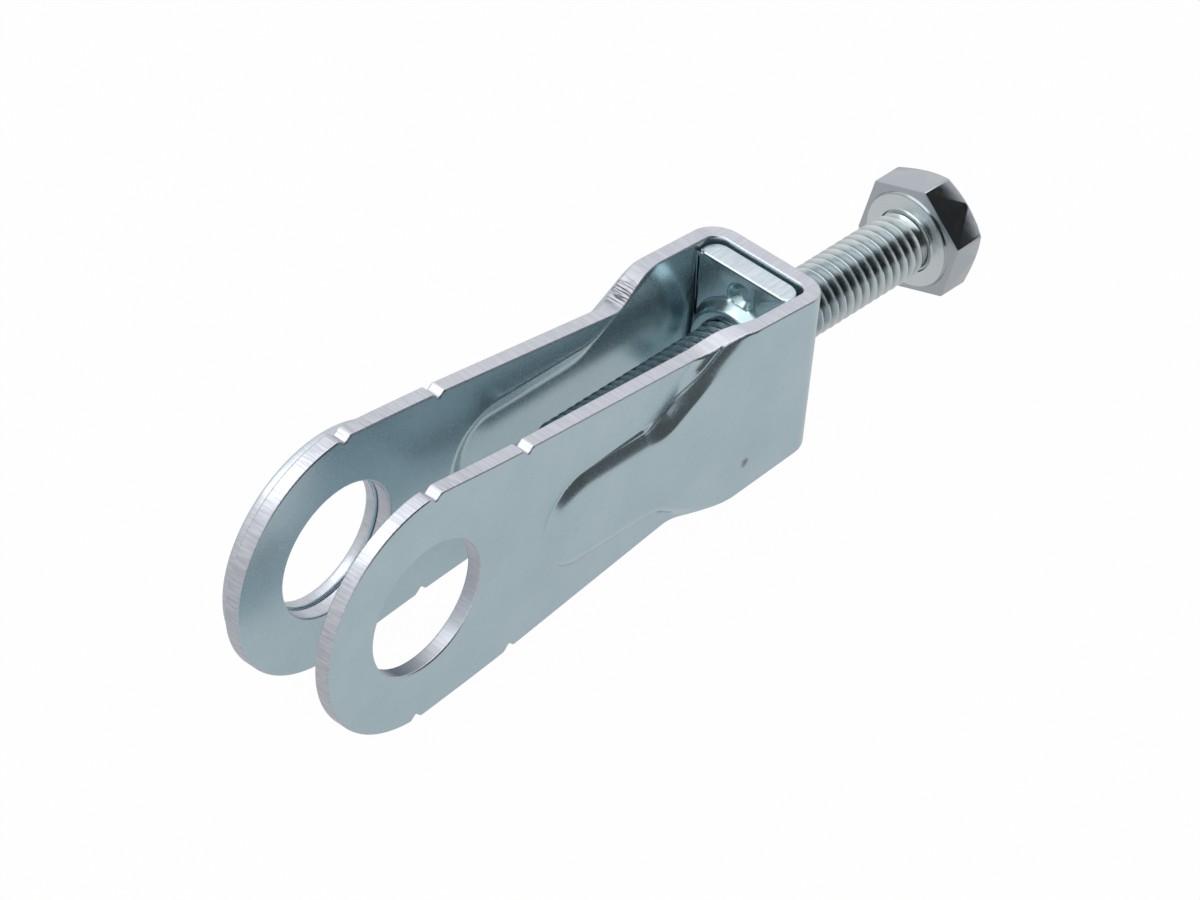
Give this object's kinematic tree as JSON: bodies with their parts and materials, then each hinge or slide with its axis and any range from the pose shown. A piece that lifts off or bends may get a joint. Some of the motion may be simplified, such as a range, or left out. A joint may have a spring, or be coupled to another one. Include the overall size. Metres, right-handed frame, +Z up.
{
  "type": "chain adjuster",
  "caption": "Folded steel yoke whose two round eyes straddle an axle, with a hexagon adjuster bolt through its closed base.",
  "frame": {"origin": "on the axle axis, midway between the two arms", "axes": "+X along the bolt, from the eyes to the bolt head; +Y along the axle, to the arm that carries the welded disc; +Z up"},
  "size_m": [0.0822, 0.0132, 0.023],
  "materials": {
    "yoke_steel": "bright zinc plate with a blue passivate",
    "disc_steel": "bright zinc plate with a blue passivate",
    "plate_steel": "bright zinc plate with a blue passivate",
    "bolt_steel": "bright zinc plate"
  },
  "bodies": {
    "yoke": {"yoke": "yoke_steel", "eye_disc": "disc_steel", "tapped_plate": "plate_steel"},
    "bolt": {"adjuster_bolt": "bolt_steel"}
  },
  "joints": [
    {"name": "bolt_advance", "type": "slide", "parent": "yoke", "child": "bolt", "axis": [1, 0, 0], "range_m": [-0.0182, 0.0215]}
  ]
}
